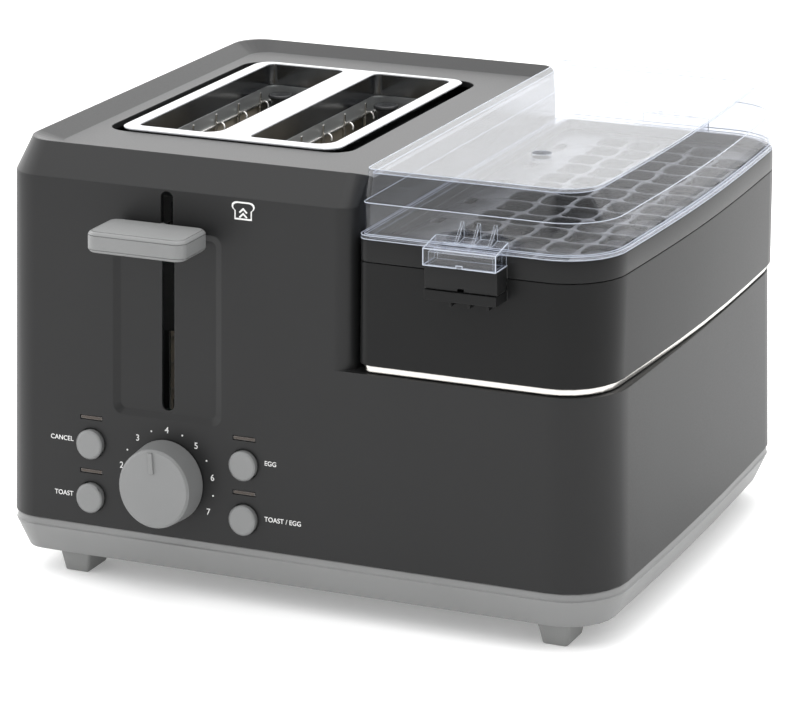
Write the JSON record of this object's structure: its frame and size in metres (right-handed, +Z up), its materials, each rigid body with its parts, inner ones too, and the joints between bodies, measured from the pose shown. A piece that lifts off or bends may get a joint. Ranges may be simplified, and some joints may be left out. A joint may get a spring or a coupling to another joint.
{
  "type": "toaster with egg and muffin steamer",
  "caption": "Wide-slot toaster joined to a steamer for eggs and muffins, with lever, browning dial, push buttons, lift-off vessel, grid tray and clear lid.",
  "frame": {"origin": "middle of the whole object's footprint, on the surface it stands on", "axes": "+X to the right along the front (toaster on the left, steamer on the right), +Y to the back, +Z up; the lever and dial face -Y"},
  "size_m": [0.3034, 0.304, 0.2047],
  "materials": {
    "housing": "fine satin grain, charcoal",
    "base": "fine satin grain, mid grey",
    "control": "smooth satin, mid grey",
    "foot": "matte grey rubber",
    "screw": "zinc plated",
    "frame": "bright polished",
    "plate": "galvanised sheet, dull",
    "steel": "drawn wire and bar",
    "mica": "mica heater board, brown and flaky",
    "heatplate": "bright brushed stainless",
    "casting": "sand-blasted die casting",
    "inner_plastic": "black, unpolished",
    "circuit": "green circuit board",
    "window": "dark bronze indicator window",
    "lid": "clear polished, faint blue edges"
  },
  "bodies": {
    "base": {"base_pan": "base", "body_shell": "housing", "cord_gland": "inner_plastic", "slot_frame": "frame", "end_plate_front": "plate", "end_plate_rear": "plate", "side_plate_left": "plate", "side_plate_right": "plate", "heater_board_left": "mica", "heater_board_middle": "mica", "heater_board_right": "mica", "bread_guard_left_outer": "steel", "bread_guard_left_inner": "steel", "bread_guard_right_inner": "steel", "bread_guard_right_outer": "steel", "guide_rod": "steel", "carriage_spring": "steel", "latch_magnet": "inner_plastic", "control_board": "circuit", "browning_control": "inner_plastic", "heating_plate": "heatplate", "plate_heater": "casting", "plate_thermostat": "inner_plastic", "foot_front_left": "foot", "base_screw_front_left": "screw", "foot_front_right": "foot", "base_screw_front_right": "screw", "foot_rear_left": "foot", "base_screw_rear_left": "screw", "foot_rear_right": "foot", "base_screw_rear_right": "screw", "lens_cancel": "window", "lens_toast": "window", "lens_egg": "window", "lens_toast_egg": "window"},
    "carriage": {"lever_handle": "control", "lever_arm": "steel", "carriage_bracket": "inner_plastic", "carriage_beam": "plate", "bread_rack_left": "steel", "bread_rack_right": "steel"},
    "knob": {"browning_knob": "control", "knob_shaft": "steel"},
    "cancel_button": {"button_cancel": "control"},
    "toast_button": {"button_toast": "control"},
    "egg_button": {"button_egg": "control"},
    "toast_egg_button": {"button_toast_egg": "control"},
    "crumb_tray": {"crumb_tray": "plate"},
    "vessel": {"steaming_vessel": "housing"},
    "egg_rack": {"egg_rack": "inner_plastic"},
    "grid_tray": {"grid_tray": "housing"},
    "lid": {"lid": "lid"}
  },
  "joints": [
    {"name": "carriage_slide", "type": "slide", "parent": "base", "child": "carriage", "axis": [0, 0, 1], "range_m": [-0.07, 0], "stiffness_N_per_m": 60, "springref_m": 0.08, "deforming": ["carriage_spring"]},
    {"name": "knob_turn", "type": "hinge", "parent": "base", "child": "knob", "pos_m": [-0.06625, -0.128, 0.0529], "axis": [0, 1, 0], "range_deg": [-108, 126]},
    {"name": "cancel_press", "type": "slide", "parent": "base", "child": "cancel_button", "axis": [0, 1, 0], "range_m": [0, 0.002], "stiffness_N_per_m": 300, "springref_m": -0.001},
    {"name": "toast_press", "type": "slide", "parent": "base", "child": "toast_button", "axis": [0, 1, 0], "range_m": [0, 0.002], "stiffness_N_per_m": 300, "springref_m": -0.001},
    {"name": "egg_press", "type": "slide", "parent": "base", "child": "egg_button", "axis": [0, 1, 0], "range_m": [0, 0.002], "stiffness_N_per_m": 300, "springref_m": -0.001},
    {"name": "toast_egg_press", "type": "slide", "parent": "base", "child": "toast_egg_button", "axis": [0, 1, 0], "range_m": [0, 0.002], "stiffness_N_per_m": 300, "springref_m": -0.001},
    {"name": "crumb_tray_slide", "type": "slide", "parent": "base", "child": "crumb_tray", "axis": [0, 1, 0], "range_m": [0, 0.19]},
    {"name": "vessel_lift", "type": "slide", "parent": "base", "child": "vessel", "axis": [0, 0, 1], "range_m": [0, 0.06]},
    {"name": "egg_rack_lift", "type": "slide", "parent": "vessel", "child": "egg_rack", "axis": [0, 0, 1], "range_m": [0, 0.05]},
    {"name": "grid_tray_lift", "type": "slide", "parent": "egg_rack", "child": "grid_tray", "axis": [0, 0, 1], "range_m": [0, 0.04]},
    {"name": "lid_lift", "type": "slide", "parent": "grid_tray", "child": "lid", "axis": [0, 0, 1], "range_m": [0, 0.06]}
  ]
}
